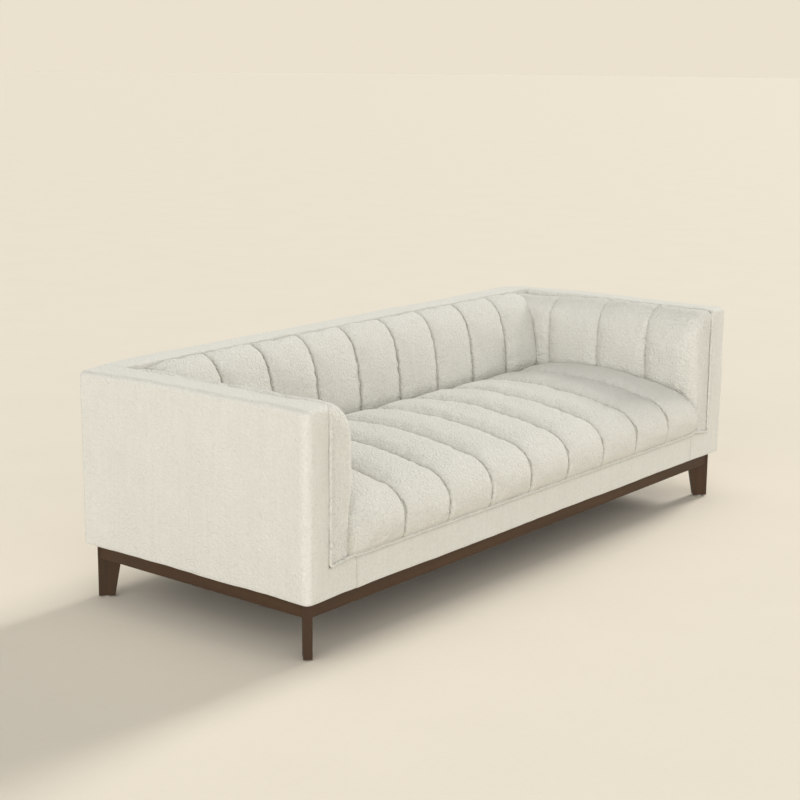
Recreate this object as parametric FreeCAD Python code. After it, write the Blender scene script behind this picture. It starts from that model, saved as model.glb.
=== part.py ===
import FreeCAD, Part
import math
import os

from FreeCAD import Vector

# Tuxedo sofa, in millimetres. Origin: middle of the sofa's footprint, on the floor.
# X runs along the length, the front faces -Y, and Z is up.

# Driving dimensions of the whole sofa
overall_length = 2180.0
overall_depth = 885.0
overall_height = 680.0
upholstery_bottom = 162.0
seat_overhang = 20.0
arm_border_width = 85.0
back_border_width = 92.5

# Outer covers, with the wadding under them, and the boards behind them
cover_thickness = 18.0
board_thickness = 3.0
board_margin = 8.0
corner_radius = 25.0
top_edge_radius = 16.0
bottom_edge_radius = 6.0
front_border_top = 256.0
border_seam_x = 895.0
welt_radius = 4.5
welt_bend = 12.0

# Timber frame
arm_timber = 60.0
back_timber = 67.0
front_post_depth = 50.0
top_rail_height = 32.0
seat_rail_thickness = 30.0
seat_rail_height = 88.0
liner_rail_thickness = 22.0
liner_rail_bottom = 264.0
liner_rail_height = 40.0
upright_x = 354.0
upright_width = 40.0
cross_rail_width = 30.0
cross_rail_height = 43.0
corner_block_leg = 90.0
corner_block_height = 60.0
screw_radius = 2.5
screw_length = 50.0
screw_head_radius = 4.5
screw_head_height = 3.0
frame_dowel_radius = 5.0
frame_dowel_half = 30.0
seat_dowel_levels = (190.0, 225.0)
side_dowel_drop = 17.0
back_top_dowel_insets = (18.0, 48.0)
arm_top_dowel_insets = (15.0, 45.0)

# Seat springs, clips, tie wires and the cloth over them
spring_count = 16
spring_pitch = 118.0
spring_bars = 31
spring_bar_length = 24.0
spring_wire_radius = 1.9
clip_thickness = 1.2
clip_width = 18.0
clip_base_length = 22.0
tie_wire_radius = 1.6
tie_wire_count = 3
tie_wire_spacing = 200.0
cloth_thickness = 2.0

# Webbing in the back and arms
webbing_width = 50.0
webbing_thickness = 2.0
back_webbing_columns = 12
arm_webbing_columns = 5
webbing_margin = 8.0
level_strip_heights = (380.0, 500.0)

# Channelled pads: how far each channel swells out beyond its seams
seat_half_length = 909.0
seat_channels = 9
arm_channels = 4
arm_channel_width = 199.0
seat_crown = 12.0
back_crown = 12.0
arm_crown = 8.0
arm_cut_reach = 60.0
pad_clearance = 0.3

# Each point of a pad's outline is its place at a seam, across and up, and then the share
# of the crown that is added to each at the crest of a channel. Bends are points on arcs.
seat_nose_y = -433.0
seat_nose_share = -(overall_depth / 2 + seat_nose_y) / seat_crown
seat_sill_setback = 10.0
seat_nose_top = 348.0
seat_shoulder_bend = (-412.0, 368.0, -0.7, 0.7)
seat_front_top = (-389.0, 385.0, -0.45, 0.9)
seat_rise_bend = (-241.0, 422.0, 0.0, 1.0)
seat_highest = (-20.0, 438.0, 0.0, 1.0)
seat_fall_bend = (100.0, 430.5, 0.0, 1.0)
seat_back_top = (200.0, 411.0, 0.0, 0.8)
seat_crease = (214.0, 398.0, 0.0, 0.0)
back_face_y = 234.0
back_upright_top = (back_face_y, 440.0, -1.0, 0.0)
back_lean_bend = (243.0, 545.0, -0.95, 0.0)
back_shoulder = (272.0, 628.0, -0.75, 0.4)
back_roll_bend = (300.0, 660.0, -0.5, 0.6)
back_crest = (345.0, 674.0, 0.0, 0.35)
back_joint_z = 673.0
arm_face_bend = (903.0, 450.0, -1.0, 0.0)
arm_shoulder = (908.0, 595.0, -0.8, 0.0)
arm_roll_bend = (927.0, 645.0, -0.5, 0.4)
arm_crest = (965.0, 668.0, 0.0, 0.8)
arm_joint_z = 674.0

# The arm pad's front end: distance behind the front face, and how far it is drawn in there
arm_front_round = ((0.0, 34.0), (4.0, 20.0), (12.0, 9.0), (24.0, 2.5), (40.0, 0.0))
arm_front_crest = 100.0

# Foam cores, as corners low and high
seat_foam_half = 885.0
seat_foam_front = -395.0
seat_foam_back = 190.0
seat_foam_top = 360.0
back_foam_front = 275.0
side_foam_bottom = 285.0
back_foam_top = 600.0
arm_foam_inner_x = 935.0
arm_foam_front = -385.0
arm_foam_back = 330.0
arm_foam_top = 610.0

# Wooden base
base_inset = 22.4
base_rail_thickness = 24.0
base_rail_height = 44.0
leg_inset = 25.4
leg_thickness = 25.0
leg_top_width = 76.0
leg_floor_width = 47.0
glide_radius = 9.0
glide_height = 4.0
dust_cover_thickness = 1.5
dust_cover_clip = 70.0
batten_width = 30.0
batten_height = 30.0
base_dowel_radius = 4.0
base_dowel_in_leg = 20.0
base_dowel_in_rail = 30.0
long_rail_levels = (128.0, 146.0)
side_rail_levels = (137.0, 155.0)
bolt_radius = 4.0
bolt_hole_radius = 4.5
bolt_head_radius = 7.5
bolt_head_height = 5.3
bolt_reach = 23.0
counterbore_radius = 10.0
counterbore_depth = 12.0
washer_radius = 9.0
washer_thickness = 1.6
insert_radius = 5.5
insert_length = 25.0
bolt_x_positions = (-750.0, -170.0, 170.0, 750.0)

# Places that follow from the driving dimensions
half_length = overall_length / 2
shell_back = overall_depth / 2
shell_front = -overall_depth / 2 + seat_overhang
pad_x = half_length - arm_border_width
pad_back = shell_back - back_border_width
frame_x = half_length - cover_thickness - board_thickness
frame_inner_x = frame_x - arm_timber
frame_back = shell_back - cover_thickness - board_thickness
frame_inner_y = frame_back - back_timber
frame_front = shell_front + cover_thickness
frame_top = overall_height - cover_thickness
rail_top = upholstery_bottom + seat_rail_height
spring_z = rail_top + clip_thickness + spring_wire_radius
tie_wire_z = spring_z + spring_wire_radius + tie_wire_radius
deck_top = tie_wire_z + tie_wire_radius + cloth_thickness
front_post_back = frame_front + front_post_depth
top_rail_bottom = frame_top - top_rail_height
base_bottom = upholstery_bottom - base_rail_height
seam_pitch = 2 * seat_half_length / seat_channels


def box(x0, x1, y0, y1, z0, z1):
    """A block between two corners."""
    low = Vector(min(x0, x1), min(y0, y1), min(z0, z1))
    return Part.makeBox(abs(x1 - x0), abs(y1 - y0), abs(z1 - z0), low)


def prism(points, height):
    """A closed outline, given as points at one level, raised by a height."""
    outline = Part.makePolygon(points + points[:1])
    return Part.Face(outline).extrude(Vector(0, 0, height))


def rod(radius, start, direction, length):
    """A round bar."""
    return Part.makeCylinder(radius, length, start, direction)


def mirrored(shape):
    """The same piece on the other side of the sofa's middle."""
    return shape.mirror(Vector(0, 0, 0), Vector(1, 0, 0))


def save(node, pieces):
    """Write one node, from one solid or from a group of like solids."""
    shape = Part.makeCompound(pieces) if isinstance(pieces, list) else pieces
    shape.exportStep("parts/" + node + ".step")


os.makedirs("parts", exist_ok=True)

# Base: four blade legs set on the diagonals of the corners
leg_x = half_length - leg_inset
front_leg_y = shell_front + leg_inset
rear_leg_y = shell_back - leg_inset
diagonal = math.sqrt(0.5)


def leg(side, end, corner_y):
    """A tapered blade whose outer edge is upright and whose inner edge slopes."""
    corner = Vector(side * leg_x, corner_y, 0)
    inward = Vector(-side * diagonal, -end * diagonal, 0)
    across = Vector(-inward.y, inward.x, 0)
    low = glide_height
    profile = [(0, low), (leg_floor_width, low), (leg_top_width, upholstery_bottom), (0, upholstery_bottom)]
    points = [corner + inward * u - across * (leg_thickness / 2) + Vector(0, 0, z) for u, z in profile]
    return Part.Face(Part.makePolygon(points + points[:1])).extrude(across * leg_thickness)


def glide(side, end, corner_y):
    """A round nylon foot under the middle of a leg."""
    reach = leg_floor_width / 2 * diagonal
    centre = Vector(side * (leg_x - reach), corner_y - end * reach, 0)
    return rod(glide_radius, centre, Vector(0, 0, 1), glide_height)


corners = {
    "front_left": (-1, -1, front_leg_y),
    "front_right": (1, -1, front_leg_y),
    "rear_left": (-1, 1, rear_leg_y),
    "rear_right": (1, 1, rear_leg_y),
}
legs = {name: leg(*place) for name, place in corners.items()}
glides = [glide(*place) for place in corners.values()]

# Base rails butt against the flat sides of the legs, so their ends are cut at 45 degrees
leg_offset = leg_thickness * diagonal
front_rail_y = shell_front + base_inset
back_rail_y = shell_back - base_inset
side_rail_x = half_length - base_inset


def long_rail(outer_y, inward, corner_y):
    """A front or back base rail; inward is +1 when the sofa's middle lies at larger Y."""
    inner_y = outer_y + inward * base_rail_thickness
    outer_x = leg_x - leg_offset - inward * (outer_y - corner_y)
    inner_x = leg_x - leg_offset - inward * (inner_y - corner_y)
    points = [
        Vector(-outer_x, outer_y, base_bottom),
        Vector(outer_x, outer_y, base_bottom),
        Vector(inner_x, inner_y, base_bottom),
        Vector(-inner_x, inner_y, base_bottom),
    ]
    return prism(points, base_rail_height)


def side_rail(side):
    """A left or right base rail."""
    outer_x = side_rail_x
    inner_x = side_rail_x - base_rail_thickness
    outer_run = leg_offset + leg_x - outer_x
    inner_run = leg_offset + leg_x - inner_x
    points = [
        Vector(side * outer_x, front_leg_y + outer_run, base_bottom),
        Vector(side * outer_x, rear_leg_y - outer_run, base_bottom),
        Vector(side * inner_x, rear_leg_y - inner_run, base_bottom),
        Vector(side * inner_x, front_leg_y + inner_run, base_bottom),
    ]
    return prism(points, base_rail_height)


base_rails = {
    "front": long_rail(front_rail_y, 1, front_leg_y),
    "back": long_rail(back_rail_y, -1, rear_leg_y),
    "left": side_rail(-1),
    "right": side_rail(1),
}

# Two battens tie the long base rails together
batten_front = front_rail_y + base_rail_thickness
batten_back = back_rail_y - base_rail_thickness
battens = []
for side in (-1, 1):
    x0 = side * upright_x - batten_width / 2
    x1 = side * upright_x + batten_width / 2
    z0 = upholstery_bottom - batten_height
    battens.append(box(x0, x1, batten_front, batten_back, z0, upholstery_bottom))

# Two dowels join every rail end to its leg; the levels differ so that they miss each other
base_dowel_length = base_dowel_in_leg + base_dowel_in_rail
base_dowels = []
for side, end, corner_y in corners.values():
    long_axis_y = corner_y - end * (base_inset + base_rail_thickness / 2 - leg_inset)
    face_x = leg_x - leg_offset - abs(long_axis_y - corner_y)
    for z in long_rail_levels:
        start = Vector(side * (face_x + base_dowel_in_leg), long_axis_y, z)
        base_dowels.append(rod(base_dowel_radius, start, Vector(-side, 0, 0), base_dowel_length))
    side_axis_x = side_rail_x - base_rail_thickness / 2
    face_y = corner_y - end * (leg_offset + leg_x - side_axis_x)
    for z in side_rail_levels:
        start = Vector(side * side_axis_x, face_y + end * base_dowel_in_leg, z)
        base_dowels.append(rod(base_dowel_radius, start, Vector(0, -end, 0), base_dowel_length))

# Bolts rise through the base rails into threaded inserts in the timber frame
bolt_places = []
for x in bolt_x_positions:
    bolt_places.append(Vector(x, front_rail_y + base_rail_thickness / 2, 0))
    bolt_places.append(Vector(x, back_rail_y - base_rail_thickness / 2, 0))
for side in (-1, 1):
    bolt_places.append(Vector(side * (side_rail_x - base_rail_thickness / 2), 0, 0))

up = Vector(0, 0, 1)
washer_bottom = base_bottom + counterbore_depth - washer_thickness
head_bottom = washer_bottom - bolt_head_height
bolt_top = upholstery_bottom + bolt_reach
bolts = []
washers = []
inserts = []
bolt_holes = []
insert_holes = []
for place in bolt_places:
    hexagon = []
    for turn in range(6):
        angle = math.radians(60 * turn)
        flat = Vector(math.cos(angle), math.sin(angle), 0) * bolt_head_radius
        hexagon.append(place + flat + up * head_bottom)
    shank = rod(bolt_radius, place + up * washer_bottom, up, bolt_top - washer_bottom)
    bolts.append(prism(hexagon, bolt_head_height).fuse(shank))
    ring = rod(washer_radius, place + up * washer_bottom, up, washer_thickness)
    washers.append(ring.cut(rod(bolt_radius, place + up * washer_bottom, up, washer_thickness)))
    sleeve = rod(insert_radius, place + up * upholstery_bottom, up, insert_length)
    insert_holes.append(sleeve)
    inserts.append(sleeve.cut(rod(bolt_radius, place + up * upholstery_bottom, up, insert_length)))
    hole = rod(bolt_hole_radius, place + up * base_bottom, up, base_rail_height)
    bolt_holes.append(hole)
    bolt_holes.append(rod(counterbore_radius, place + up * base_bottom, up, counterbore_depth))

base_voids = Part.makeCompound(bolt_holes + base_dowels)
for name, shape in base_rails.items():
    save("base_rail_" + name, shape.cut(base_voids))
for name, shape in legs.items():
    save("leg_" + name, shape.cut(Part.makeCompound(base_dowels)))
save("leg_glides", glides)
save("base_cross_battens", battens)
save("base_dowels", base_dowels)
save("base_bolts", bolts)
save("base_washers", washers)
save("base_threaded_inserts", inserts)

# Timber frame: posts, rails and uprights, all square sections
front_seat_rail_back = frame_front + seat_rail_thickness
back_seat_rail_front = frame_back - seat_rail_thickness
timbers = {
    "seat_rail_front": box(
        -frame_inner_x, frame_inner_x, frame_front, front_seat_rail_back, upholstery_bottom, rail_top
    ),
    "seat_rail_back": box(
        -frame_inner_x, frame_inner_x, back_seat_rail_front, frame_back, upholstery_bottom, rail_top
    ),
    "back_top_rail": box(
        -frame_inner_x, frame_inner_x, frame_inner_y, frame_back, top_rail_bottom, frame_top
    ),
    "back_liner_rail": box(
        -frame_inner_x,
        frame_inner_x,
        frame_inner_y,
        frame_inner_y + liner_rail_thickness,
        liner_rail_bottom,
        liner_rail_bottom + liner_rail_height,
    ),
}
sides = {"left": -1, "right": 1}
for name, side in sides.items():
    inner = side * frame_inner_x
    outer = side * frame_x
    timbers["front_post_" + name] = box(
        inner, outer, frame_front, front_post_back, upholstery_bottom, top_rail_bottom
    )
    timbers["back_post_" + name] = box(
        inner, outer, frame_inner_y, frame_back, upholstery_bottom, frame_top
    )
    timbers["arm_top_rail_" + name] = box(
        inner, outer, frame_front, frame_inner_y, top_rail_bottom, frame_top
    )
    timbers["seat_rail_" + name] = box(
        side * (frame_x - seat_rail_thickness),
        outer,
        front_post_back,
        frame_inner_y,
        upholstery_bottom,
        rail_top,
    )
    timbers["arm_liner_rail_" + name] = box(
        inner,
        side * (frame_inner_x + liner_rail_thickness),
        front_post_back,
        frame_inner_y,
        liner_rail_bottom,
        liner_rail_bottom + liner_rail_height,
    )

uprights = []
cross_rails = []
for side in (-1, 1):
    x0 = side * upright_x - upright_width / 2
    x1 = side * upright_x + upright_width / 2
    uprights.append(box(x0, x1, frame_inner_y + liner_rail_thickness, frame_back, rail_top, top_rail_bottom))
    x0 = side * upright_x - cross_rail_width / 2
    x1 = side * upright_x + cross_rail_width / 2
    z1 = upholstery_bottom + cross_rail_height
    cross_rails.append(box(x0, x1, front_seat_rail_back, back_seat_rail_front, upholstery_bottom, z1))

# Glued corner blocks brace the seat frame, and two screws hold each of them
block_bottom = upholstery_bottom + (seat_rail_height - corner_block_height) / 2
block_places = []
for side in (-1, 1):
    block_places.append((side, -1, front_seat_rail_back))
    block_places.append((side, 1, back_seat_rail_front))
corner_blocks = []
block_screws = []
for side, end, face_y in block_places:
    corner = Vector(side * frame_inner_x, face_y, block_bottom)
    along_rail = Vector(-side * corner_block_leg, 0, 0)
    along_side = Vector(0, -end * corner_block_leg, 0)
    block = prism([corner, corner + along_rail, corner + along_side], corner_block_height)
    outward = Vector(side * diagonal, end * diagonal, 0)
    for share in (0.25, 0.75):
        mouth = corner + along_rail / 2 + along_side / 2 + up * share * corner_block_height
        shank = rod(screw_radius, mouth, outward, screw_length)
        head = rod(screw_head_radius, mouth, outward, screw_head_height)
        screw = shank.fuse(head)
        block_screws.append(screw)
        block = block.cut(screw)
    corner_blocks.append(block)

# Dowels at the frame's joints: a point on the joint's face and the direction across it
dowel_joints = []
for side in (-1, 1):
    across = Vector(side, 0, 0)
    along = Vector(0, 1, 0)
    for z in seat_dowel_levels:
        dowel_joints.append((Vector(side * frame_inner_x, frame_front + seat_rail_thickness / 2, z), across))
        dowel_joints.append((Vector(side * frame_inner_x, frame_back - seat_rail_thickness / 2, z), across))
        rail_axis = side * (frame_x - seat_rail_thickness / 2)
        dowel_joints.append((Vector(rail_axis, front_post_back, z - side_dowel_drop), along))
        dowel_joints.append((Vector(rail_axis, frame_inner_y, z - side_dowel_drop), along))
    top_level = frame_top - top_rail_height / 2
    for inset in back_top_dowel_insets:
        dowel_joints.append((Vector(side * frame_inner_x, frame_inner_y + inset, top_level), across))
    for inset in arm_top_dowel_insets:
        dowel_joints.append((Vector(side * (frame_inner_x + inset), frame_inner_y, top_level), along))
dowel_radius = frame_dowel_radius
frame_dowels = [
    rod(dowel_radius, point - direction * frame_dowel_half, direction, 2 * frame_dowel_half)
    for point, direction in dowel_joints
]

timber_voids = Part.makeCompound(frame_dowels + insert_holes)
for name, shape in timbers.items():
    save(name, shape.cut(timber_voids))
save("back_uprights", uprights)
save("seat_cross_rails", cross_rails)
save("seat_corner_blocks", corner_blocks)
save("corner_block_screws", block_screws)
save("frame_dowels", frame_dowels)

# Zigzag springs run from front to back, hooked in clips on the seat rails
spring_front = frame_front + seat_rail_thickness / 2
spring_back = frame_back - seat_rail_thickness / 2
bar_pitch = (spring_back - spring_front) / (spring_bars - 1)


def zigzag_spring(middle_x):
    """Straight bars across the sofa, joined by half turns at alternate ends."""
    edges = []
    for index in range(spring_bars):
        y = spring_front + index * bar_pitch
        turn = 1 if index % 2 == 0 else -1
        start = Vector(middle_x - turn * spring_bar_length / 2, y, spring_z)
        end = Vector(middle_x + turn * spring_bar_length / 2, y, spring_z)
        edges.append(Part.makeLine(start, end))
        if index < spring_bars - 1:
            outermost = end + Vector(turn * bar_pitch / 2, bar_pitch / 2, 0)
            edges.append(Part.Arc(end, outermost, end + Vector(0, bar_pitch, 0)).toShape())
    start = Vector(middle_x - spring_bar_length / 2, spring_front, spring_z)
    section = Part.Wire([Part.makeCircle(spring_wire_radius, start, Vector(1, 0, 0))])
    return Part.Wire(edges).makePipeShell([section], True, False)


def spring_clip(middle_x, y):
    """A steel strip on the rail, curled round the spring's end bar."""
    axis_start = Vector(middle_x - clip_width / 2, y, spring_z)
    across = Vector(1, 0, 0)
    curl = rod(spring_wire_radius + clip_thickness, axis_start, across, clip_width)
    base = box(
        middle_x - clip_width / 2,
        middle_x + clip_width / 2,
        y - clip_base_length / 2,
        y + clip_base_length / 2,
        rail_top,
        rail_top + clip_thickness,
    )
    return curl.fuse(base).cut(rod(spring_wire_radius, axis_start, across, clip_width))


first_spring_x = -spring_pitch * (spring_count - 1) / 2
spring_places = [first_spring_x + index * spring_pitch for index in range(spring_count)]
one_spring = zigzag_spring(0)
save("seat_springs", [one_spring.translated(Vector(x, 0, 0)) for x in spring_places])
save("spring_clips", [spring_clip(x, y) for x in spring_places for y in (spring_front, spring_back)])

tie_reach = -first_spring_x + spring_bar_length
tie_wires = []
for index in range(tie_wire_count):
    y = (index - (tie_wire_count - 1) / 2) * tie_wire_spacing
    start = Vector(-tie_reach, y, tie_wire_z)
    tie_wires.append(rod(tie_wire_radius, start, Vector(1, 0, 0), 2 * tie_reach))
save("spring_tie_wires", tie_wires)

# Deck cloth over the springs, its front and back edges turned down onto the rails
deck = box(-frame_inner_x, frame_inner_x, frame_front, frame_back, rail_top, deck_top)
under_deck = box(
    -frame_inner_x,
    frame_inner_x,
    frame_front + cloth_thickness,
    frame_back - cloth_thickness,
    rail_top,
    deck_top - cloth_thickness,
)
save("seat_deck_cloth", deck.cut(under_deck).cut(Part.makeCompound(uprights)))

# Webbing: upright strips on the frame's inner faces, with level strips laid over them
webbing_bottom = liner_rail_bottom + webbing_margin
webbing_top = frame_top - webbing_margin
back_strips = []
for index in range(back_webbing_columns):
    x = (index - (back_webbing_columns - 1) / 2) * 2 * frame_inner_x / back_webbing_columns
    x0 = x - webbing_width / 2
    y0 = frame_inner_y - webbing_thickness
    back_strips.append(box(x0, x0 + webbing_width, y0, frame_inner_y, webbing_bottom, webbing_top))
for z in level_strip_heights:
    y1 = frame_inner_y - webbing_thickness
    back_strips.append(
        box(
            -frame_inner_x + webbing_margin,
            frame_inner_x - webbing_margin,
            y1 - webbing_thickness,
            y1,
            z,
            z + webbing_width,
        )
    )
save("back_webbing", back_strips)

arm_webbing_run = frame_inner_y - webbing_width - frame_front
arm_strips = []
for index in range(arm_webbing_columns):
    y0 = frame_front + index * arm_webbing_run / arm_webbing_columns + webbing_width / 2
    x0 = frame_inner_x - webbing_thickness
    arm_strips.append(box(x0, frame_inner_x, y0, y0 + webbing_width, webbing_bottom, webbing_top))
for z in level_strip_heights:
    x1 = frame_inner_x - webbing_thickness
    arm_strips.append(
        box(
            x1 - webbing_thickness,
            x1,
            frame_front + webbing_margin,
            frame_inner_y - webbing_margin,
            z,
            z + webbing_width,
        )
    )
save("arm_webbing_right", arm_strips)
save("arm_webbing_left", [mirrored(strip) for strip in arm_strips])

# Channelled pads: each channel is a loft from seam to crest to seam


def swollen(point, crown):
    """A point of an outline, moved out by its share of the crown."""
    across, height, across_share, up_share = point
    return (across + across_share * crown, height + up_share * crown)


def closed_wire(points, bends, at):
    """Join points by lines, or by arcs through the bend points where one is given."""
    places = [at(*point) for point in points]
    edges = []
    for index, start in enumerate(places):
        end = places[(index + 1) % len(places)]
        bend = bends.get(index)
        if bend is None:
            edges.append(Part.makeLine(start, end))
        else:
            edges.append(Part.Arc(start, at(*bend), end).toShape())
    return Part.Wire(edges)


def seat_section(x, crown):
    """The seat's side outline: rounded nose, long low crown, and a dip at the back crease."""
    nose = seat_nose_y + seat_nose_share * crown
    nose_level = (deck_top + seat_nose_top) / 2
    points = [
        (nose + seat_sill_setback, deck_top),
        (nose + seat_sill_setback, seat_nose_top),
        swollen(seat_front_top, crown),
        swollen(seat_highest, crown),
        swollen(seat_back_top, crown),
        swollen(seat_crease, crown),
        (seat_crease[0], deck_top),
    ]
    bends = {
        0: (nose, nose_level),
        1: swollen(seat_shoulder_bend, crown),
        2: swollen(seat_rise_bend, crown),
        3: swollen(seat_fall_bend, crown),
    }
    return closed_wire(points, bends, lambda y, z: Vector(x, y, z))


def back_section(x, crown):
    """The back's side outline: upright below, rolling over to the top border."""
    points = [
        (pad_back, deck_top),
        (back_face_y - crown, deck_top),
        swollen(back_upright_top, crown),
        swollen(back_shoulder, crown),
        swollen(back_crest, crown),
        (pad_back, back_joint_z),
    ]
    bends = {
        2: swollen(back_lean_bend, crown),
        3: swollen(back_roll_bend, crown),
    }
    return closed_wire(points, bends, lambda y, z: Vector(x, y, z))


def drawn_in(point, across, down):
    """A point of the arm pad's outline, moved towards the inside of the pad."""
    return (point[0] + across, point[1] - down)


def arm_section(y, crown, inset=0.0):
    """The right arm pad's end outline; inset draws it in at the rounded front."""
    points = [
        (pad_x, deck_top),
        (seat_half_length + pad_clearance + inset, deck_top),
        drawn_in(swollen(arm_shoulder, crown), inset, 0.0),
        drawn_in(swollen(arm_crest, crown), 0.0, 0.6 * inset),
        (pad_x, arm_joint_z - 0.3 * inset),
    ]
    bends = {
        1: drawn_in(swollen(arm_face_bend, crown), inset, 0.0),
        2: drawn_in(swollen(arm_roll_bend, crown), 0.75 * inset, 0.3 * inset),
    }
    return closed_wire(points, bends, lambda x, z: Vector(x, y, z))


def channel(section, start, end, crown):
    """One stuffed channel between two seams."""
    wires = [section(start, 0), section((start + end) / 2, crown), section(end, 0)]
    return Part.makeLoft(wires, True, False)


def joined(solids):
    """Fuse a row of channels into one solid."""
    return solids[0].multiFuse(solids[1:]).removeSplitter().Solids[0]


seams = [-seat_half_length + index * seam_pitch for index in range(seat_channels + 1)]
seat_pad = joined([channel(seat_section, a, b, seat_crown) for a, b in zip(seams, seams[1:])])
back_pad = joined([channel(back_section, a, b, back_crown) for a, b in zip(seams, seams[1:])])

# The arm pad's front end is rounded by drawing its outline in, step by step
rise = arm_crown / arm_front_crest
front_wires = [arm_section(shell_front + step, rise * step, inset) for step, inset in arm_front_round]
last_step = arm_front_round[-1][0]
front_channel_wires = [
    arm_section(shell_front + last_step, rise * last_step),
    arm_section(shell_front + arm_front_crest, arm_crown),
    arm_section(shell_front + arm_channel_width, 0),
]
arm_solids = [Part.makeLoft(front_wires, True, True), Part.makeLoft(front_channel_wires, True, False)]
for index in range(1, arm_channels):
    start = shell_front + index * arm_channel_width
    end = min(start + arm_channel_width, pad_back)
    arm_solids.append(channel(arm_section, start, end, arm_crown))
arm_pad = joined(arm_solids)

# The arm pads stop at the ends of the seat and of the back, and give way to their crowns
end_x = seat_half_length + pad_clearance
inwards = Vector(-arm_cut_reach, 0, 0)
seat_end = Part.Face(seat_section(end_x, 0)).extrude(inwards)
back_end = Part.Face(back_section(end_x, 0)).extrude(inwards)
arm_pad = arm_pad.cut(seat_end).cut(back_end).cut(seat_pad).cut(back_pad).Solids[0]

# Foam cores lie inside the channelled covers
seat_foam = box(-seat_foam_half, seat_foam_half, seat_foam_front, seat_foam_back, deck_top, seat_foam_top)
back_foam = box(-seat_foam_half, seat_foam_half, back_foam_front, pad_back, side_foam_bottom, back_foam_top)
arm_foam = box(arm_foam_inner_x, pad_x, arm_foam_front, arm_foam_back, side_foam_bottom, arm_foam_top)
save("seat_foam", seat_foam)
save("back_foam", back_foam)
save("arm_foam_right", arm_foam)
save("arm_foam_left", mirrored(arm_foam))

# Welt: one cord up the front of each arm and along the front of the seat
welt_z = (front_border_top + deck_top) / 2
welt_top = overall_height - top_edge_radius
left_top = Vector(-pad_x, shell_front, welt_top)
left_start = Vector(-pad_x, shell_front, welt_z + welt_bend)
left_end = Vector(-pad_x + welt_bend, shell_front, welt_z)
corner_share = welt_bend * (1 - diagonal)
left_mid = Vector(-pad_x + corner_share, shell_front, welt_z + corner_share)
right_top = Vector(pad_x, shell_front, welt_top)
right_start = Vector(pad_x, shell_front, welt_z + welt_bend)
right_end = Vector(pad_x - welt_bend, shell_front, welt_z)
right_mid = Vector(pad_x - corner_share, shell_front, welt_z + corner_share)
welt_path = Part.Wire(
    [
        Part.makeLine(left_top, left_start),
        Part.Arc(left_start, left_mid, left_end).toShape(),
        Part.makeLine(left_end, right_end),
        Part.Arc(right_end, right_mid, right_start).toShape(),
        Part.makeLine(right_start, right_top),
    ]
)
welt_section = Part.Wire([Part.makeCircle(welt_radius, left_top, Vector(0, 0, 1))])
welt = welt_path.makePipeShell([welt_section], True, False)
save("front_welt", welt)

save("seat_pad", seat_pad.cut(seat_foam).cut(welt).Solids[0])
save("back_pad", back_pad.cut(back_foam).Solids[0])
arm_pad_right = arm_pad.cut(arm_foam).cut(welt).Solids[0]
save("arm_pad_right", arm_pad_right)
save("arm_pad_left", mirrored(arm_pad_right))

# Outer covers: a rounded block hollowed for the frame and opened for the pads
block = box(-half_length, half_length, shell_front, shell_back, upholstery_bottom, overall_height)
upright_edges = [edge for edge in block.Edges if edge.BoundBox.ZLength > corner_radius]
block = block.makeFillet(corner_radius, upright_edges)


def edges_at(shape, level):
    """The edges of a solid that lie flat at one height."""
    near = 0.01
    return [
        edge
        for edge in shape.Edges
        if abs(edge.BoundBox.ZMin - level) < near and abs(edge.BoundBox.ZMax - level) < near
    ]


block = block.makeFillet(top_edge_radius, edges_at(block, overall_height))
block = block.makeFillet(bottom_edge_radius, edges_at(block, upholstery_bottom))
beyond = half_length
cavity = box(
    -half_length + cover_thickness,
    half_length - cover_thickness,
    frame_front,
    shell_back - cover_thickness,
    0,
    frame_top,
)
above = overall_height + beyond
well = box(-pad_x, pad_x, shell_front - beyond, pad_back, front_border_top, above)
shell = block.cut(cavity).cut(well).cut(welt)

front_zone = box(-border_seam_x, border_seam_x, shell_front - beyond, 0, 0, front_border_top)
back_flat_x = half_length - corner_radius
back_zone = box(-back_flat_x, back_flat_x, shell_back - cover_thickness, shell_back + beyond, 0, frame_top)
back_zone = back_zone.fuse(box(-pad_x, pad_x, 0, shell_back + beyond, frame_top, above))
left_zone = box(-half_length - beyond, 0, shell_front - beyond, shell_back + beyond, 0, above)
front_border = shell.common(front_zone)
back_cover = shell.common(back_zone)
arm_cover = shell.cut(front_zone).cut(back_zone).common(left_zone)
save("front_border_cover", front_border)
save("outer_back_cover", back_cover)
save("outer_arm_cover_left", arm_cover)
save("outer_arm_cover_right", mirrored(arm_cover))

# Thin boards stretch the outer covers over the open timber frame
board_bottom = upholstery_bottom + board_margin
board_top = frame_top - board_margin
arm_board = box(
    frame_x, frame_x + board_thickness, frame_front, frame_back + board_thickness, board_bottom, board_top
)
save("outer_arm_board_right", arm_board)
save("outer_arm_board_left", mirrored(arm_board))
save(
    "outer_back_board",
    box(-frame_x, frame_x, frame_back, frame_back + board_thickness, board_bottom, board_top),
)

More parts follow.
